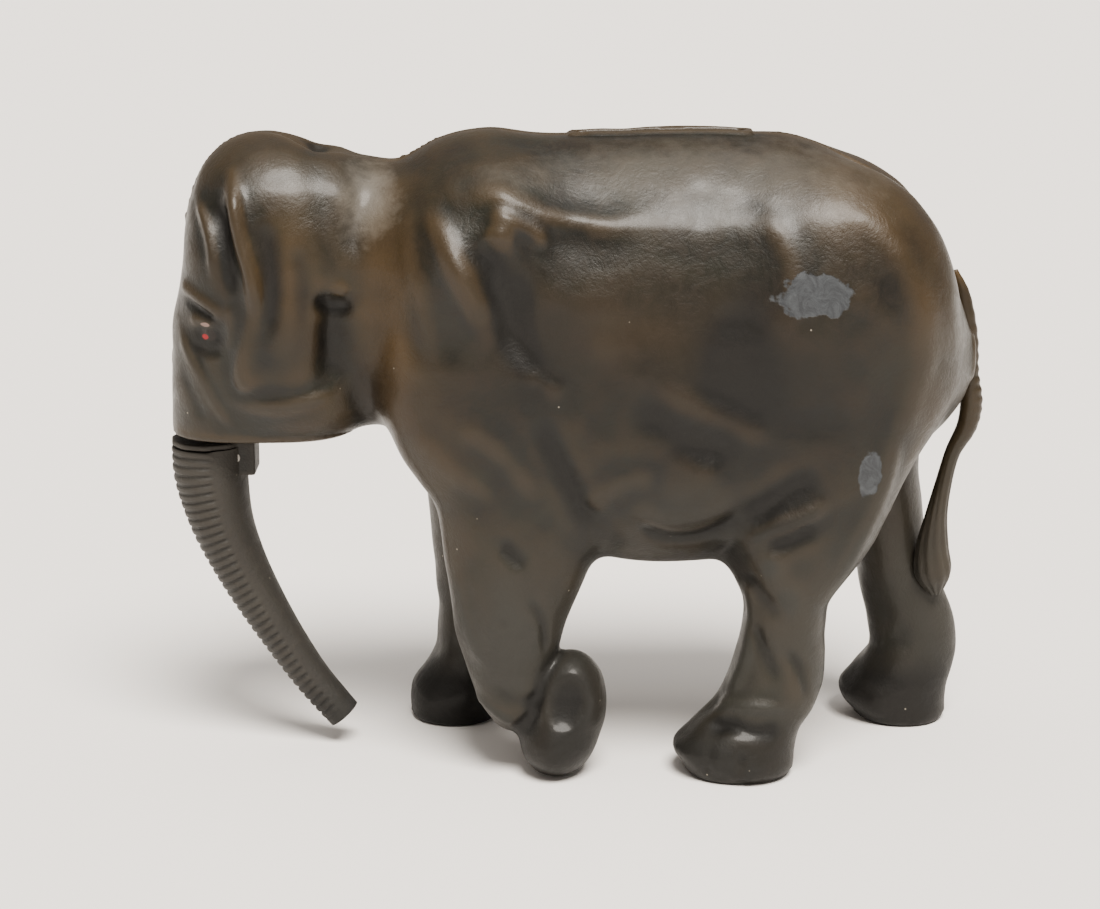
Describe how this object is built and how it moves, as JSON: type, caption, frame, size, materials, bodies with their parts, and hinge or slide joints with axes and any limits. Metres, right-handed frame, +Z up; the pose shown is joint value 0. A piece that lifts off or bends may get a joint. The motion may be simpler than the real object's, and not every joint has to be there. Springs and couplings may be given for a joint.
{
  "type": "figural animal coin bank",
  "caption": "Standing elephant coin bank cast in halves, with a slot on its back, a hanging trunk that nods and a key-locked trap door in its belly.",
  "frame": {"origin": "centre of the footprint of the whole object, on the floor that its feet stand on", "axes": "+X from the head to the tail, so the animal faces -X; +Y to its right side; +Z up"},
  "size_m": [0.1404, 0.052, 0.1089],
  "materials": {
    "cast_body": "satin",
    "cast_trunk": "matte",
    "tinned_sheet": "satin",
    "brass_strip": "satin",
    "steel_wire": "satin",
    "steel_bolt": "satin",
    "spring_steel": "polished"
  },
  "bodies": {
    "body": {"body_left_half": "cast_body", "body_right_half": "cast_body", "tail": "cast_body", "trunk_pivot_pin": "steel_wire", "trap_frame": "tinned_sheet", "trap_hinge_pin": "steel_wire"},
    "trunk": {"trunk_casting": "cast_trunk", "trunk_hanger": "brass_strip", "hanger_rivet": "steel_wire"},
    "trap_door": {"trap_door": "tinned_sheet", "lock_case": "brass_strip", "key_post": "steel_bolt", "lock_spring": "spring_steel", "lock_rivets": "brass_strip", "keyhole_escutcheon": "brass_strip", "escutcheon_pins": "brass_strip"},
    "lock_bolt": {"lock_bolt": "steel_bolt"}
  },
  "joints": [
    {"name": "trunk_nod", "type": "hinge", "parent": "body", "child": "trunk", "pos_m": [-0.05834, 0, 0.0635], "axis": [0, 1, 0], "range_deg": [-12, 4.5]},
    {"name": "trap_hinge", "type": "hinge", "parent": "body", "child": "trap_door", "pos_m": [0.0148, 0.008, 0.03863], "axis": [1, 0, 0], "range_deg": [0, 95]},
    {"name": "bolt_slide", "type": "slide", "parent": "trap_door", "child": "lock_bolt", "axis": [0, -1, 0], "range_m": [0, 0.0022]}
  ]
}
